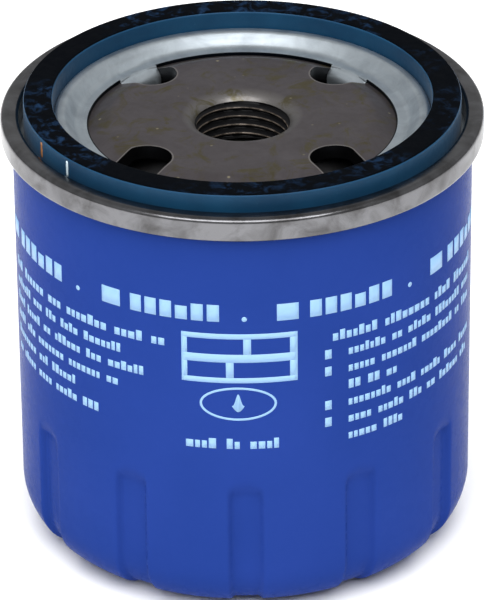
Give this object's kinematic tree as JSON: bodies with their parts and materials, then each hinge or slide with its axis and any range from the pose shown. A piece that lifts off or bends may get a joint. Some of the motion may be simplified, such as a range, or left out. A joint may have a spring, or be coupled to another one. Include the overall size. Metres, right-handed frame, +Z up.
{
  "type": "spin-on oil filter",
  "caption": "Spin-on engine oil filter with a fluted can, rolled seam, rubber gasket, threaded plate with inlet slots, pleated element and sprung bypass valve.",
  "frame": {"origin": "centre of the closed end, on the plane the filter stands on", "axes": "+Z up the thread axis towards the gasket; -Y is the side with the printed panel"},
  "size_m": [0.076, 0.076, 0.0742],
  "materials": {
    "can_paint": "smooth semi-gloss stove enamel",
    "zinc_steel": "zinc-coated sheet, bare and slightly dull",
    "seam_compound": "cured seaming compound",
    "plate_steel": "oiled pressed steel with light stains",
    "gasket_rubber": "smooth moulded nitrile with a blue sheen",
    "valve_rubber": "moulded nitrile",
    "cap_steel": "tinned sheet",
    "adhesive": "cured end-cap adhesive",
    "filter_paper": "resin-treated filter paper",
    "spring_steel": "drawn spring wire"
  },
  "bodies": {
    "housing": {"can": "can_paint", "seaming_lid": "zinc_steel", "seam_sealant": "seam_compound", "spot_welds": "plate_steel", "threaded_plate": "plate_steel", "sealing_gasket": "gasket_rubber", "valve_sleeve": "valve_rubber", "valve_membrane": "valve_rubber", "element_spring": "spring_steel"},
    "element": {"upper_end_cap": "cap_steel", "upper_potting": "adhesive", "pleated_media": "filter_paper", "media_clip": "cap_steel", "centre_tube": "cap_steel", "lower_potting": "adhesive", "lower_end_cap": "cap_steel", "bypass_cage": "cap_steel", "spring_seat": "cap_steel", "bypass_spring": "spring_steel"},
    "bypass_valve": {"bypass_poppet": "cap_steel", "bypass_seal": "valve_rubber"},
    "drain_lip": {"valve_lip": "valve_rubber"}
  },
  "joints": [
    {"name": "element_float", "type": "slide", "parent": "housing", "child": "element", "axis": [0, 0, 1], "range_m": [-0.002, 0], "stiffness_N_per_m": 8000, "springref_m": 0.005, "deforming": ["element_spring"]},
    {"name": "bypass_lift", "type": "slide", "parent": "element", "child": "bypass_valve", "axis": [0, 0, 1], "range_m": [0, 0.0035], "stiffness_N_per_m": 1500, "springref_m": -0.0103, "deforming": ["bypass_spring"]},
    {"name": "drain_lip_lift", "type": "slide", "parent": "housing", "child": "drain_lip", "axis": [0, 0, 1], "range_m": [-0.0015, 0], "stiffness_N_per_m": 200, "springref_m": 0.001, "deforming": ["valve_membrane"]}
  ]
}
